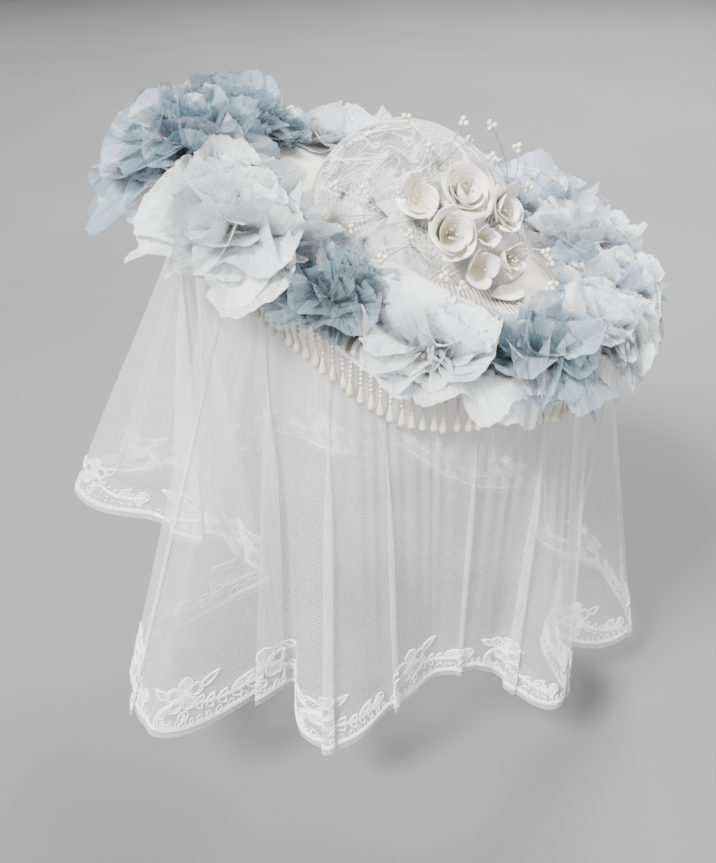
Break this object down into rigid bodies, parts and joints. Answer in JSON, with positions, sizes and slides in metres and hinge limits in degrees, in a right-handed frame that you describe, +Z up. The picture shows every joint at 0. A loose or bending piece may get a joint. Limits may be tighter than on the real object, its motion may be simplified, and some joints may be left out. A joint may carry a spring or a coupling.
{
  "type": "veil hat",
  "caption": "Wide-brimmed lace veil hat with organza petal flowers round the brim, satin roses, pearl sprays, a pearl-drop fringe and a long net veil with a scalloped lace border.",
  "frame": {"origin": "middle of the head opening at the foot of the crown, where the head carries the hat", "axes": "+Z is straight up as worn, -Y is the wearer's front, and +X is the side where the tilted brim comes lowest; the brim tilts 16.5 degrees to that side and 3.5 degrees to the front"},
  "size_m": [0.5665, 0.4705, 0.5322],
  "materials": {
    "crown_lace": "white corded lace with a slight glitter over white satin",
    "brim_cloth": "warm white cloth in fine radiating pleats",
    "veil_net": "fine white hexagonal tulle, see-through",
    "lace_border": "white shiny embroidery on net",
    "petal_white": "crinkled white organza with fibrous streaks, translucent",
    "petal_blue": "crinkled dusty blue organza with fibrous streaks, translucent",
    "rose_satin": "ivory satin with a soft sheen",
    "leaf_satin": "ivory satin",
    "pearl": "ivory pearl coating, glossy",
    "spray_pearl": "ivory pearls on fine twisted wire",
    "spray_wire": "bright silver wire"
  },
  "bodies": {
    "root": {"crown_shell": "crown_lace", "brim_plate": "brim_cloth", "veil_net": "veil_net", "veil_lace_border": "lace_border", "pearl_fringe": "pearl", "flower_white_back_left": "petal_white", "flower_blue_left_back": "petal_blue", "flower_blue_left": "petal_blue", "flower_white_left": "petal_white", "flower_blue_front_left": "petal_blue", "flower_white_front": "petal_white", "flower_blue_front_right": "petal_blue", "flower_white_front_right": "petal_white", "flower_blue_right": "petal_blue", "flower_white_right_back": "petal_white", "flower_blue_back_right": "petal_blue", "flower_white_back": "petal_white", "rose_upper_left": "rose_satin", "rose_top": "rose_satin", "rose_right": "rose_satin", "rose_middle": "rose_satin", "rose_bud": "rose_satin", "rose_low": "rose_satin", "rose_low_right": "rose_satin", "satin_leaf_left": "leaf_satin", "satin_leaf_right": "leaf_satin", "pearl_spray_left": "spray_pearl", "pearl_spray_top": "spray_pearl", "pearl_spray_right": "spray_pearl", "pearl_spray_low_left": "spray_pearl", "pearl_spray_low_right": "spray_pearl"}
  },
  "joints": []
}
